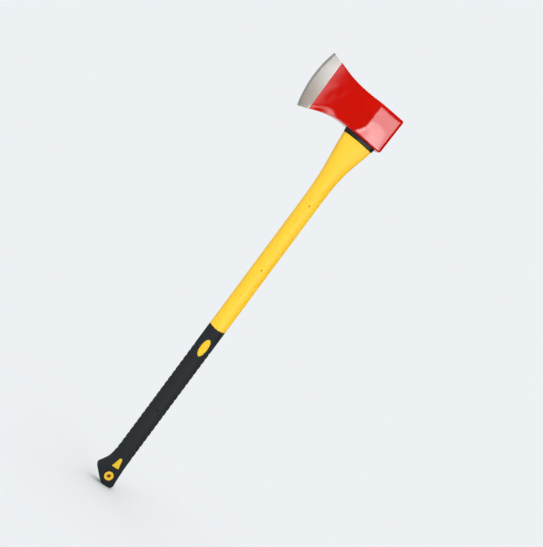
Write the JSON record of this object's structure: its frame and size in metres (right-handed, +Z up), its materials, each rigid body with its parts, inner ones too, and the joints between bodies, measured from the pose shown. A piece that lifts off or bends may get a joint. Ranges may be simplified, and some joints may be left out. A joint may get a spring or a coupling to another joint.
{
  "type": "fire axe",
  "caption": "Long-handled fire axe with a flared single-bit head, flat poll, moulded handle, ribbed grip sleeve and hanging hole.",
  "frame": {"origin": "on the flat butt end, on the handle's long axis", "axes": "+Z up the handle from the butt to the head, -X towards the cutting edge, +X towards the poll, the cheeks face -Y and +Y"},
  "size_m": [0.1908, 0.0286, 0.9103],
  "materials": {
    "axe_head": "gloss",
    "fibreglass_core": "satin",
    "handle_jacket": "satin",
    "grip_sleeve": "matte",
    "eye_collar": "satin",
    "eye_resin": "gloss"
  },
  "bodies": {
    "root": {"axe_head": "axe_head", "fibreglass_core": "fibreglass_core", "handle_jacket": "handle_jacket", "grip_sleeve": "grip_sleeve", "eye_collar": "eye_collar", "eye_resin": "eye_resin"}
  },
  "joints": []
}
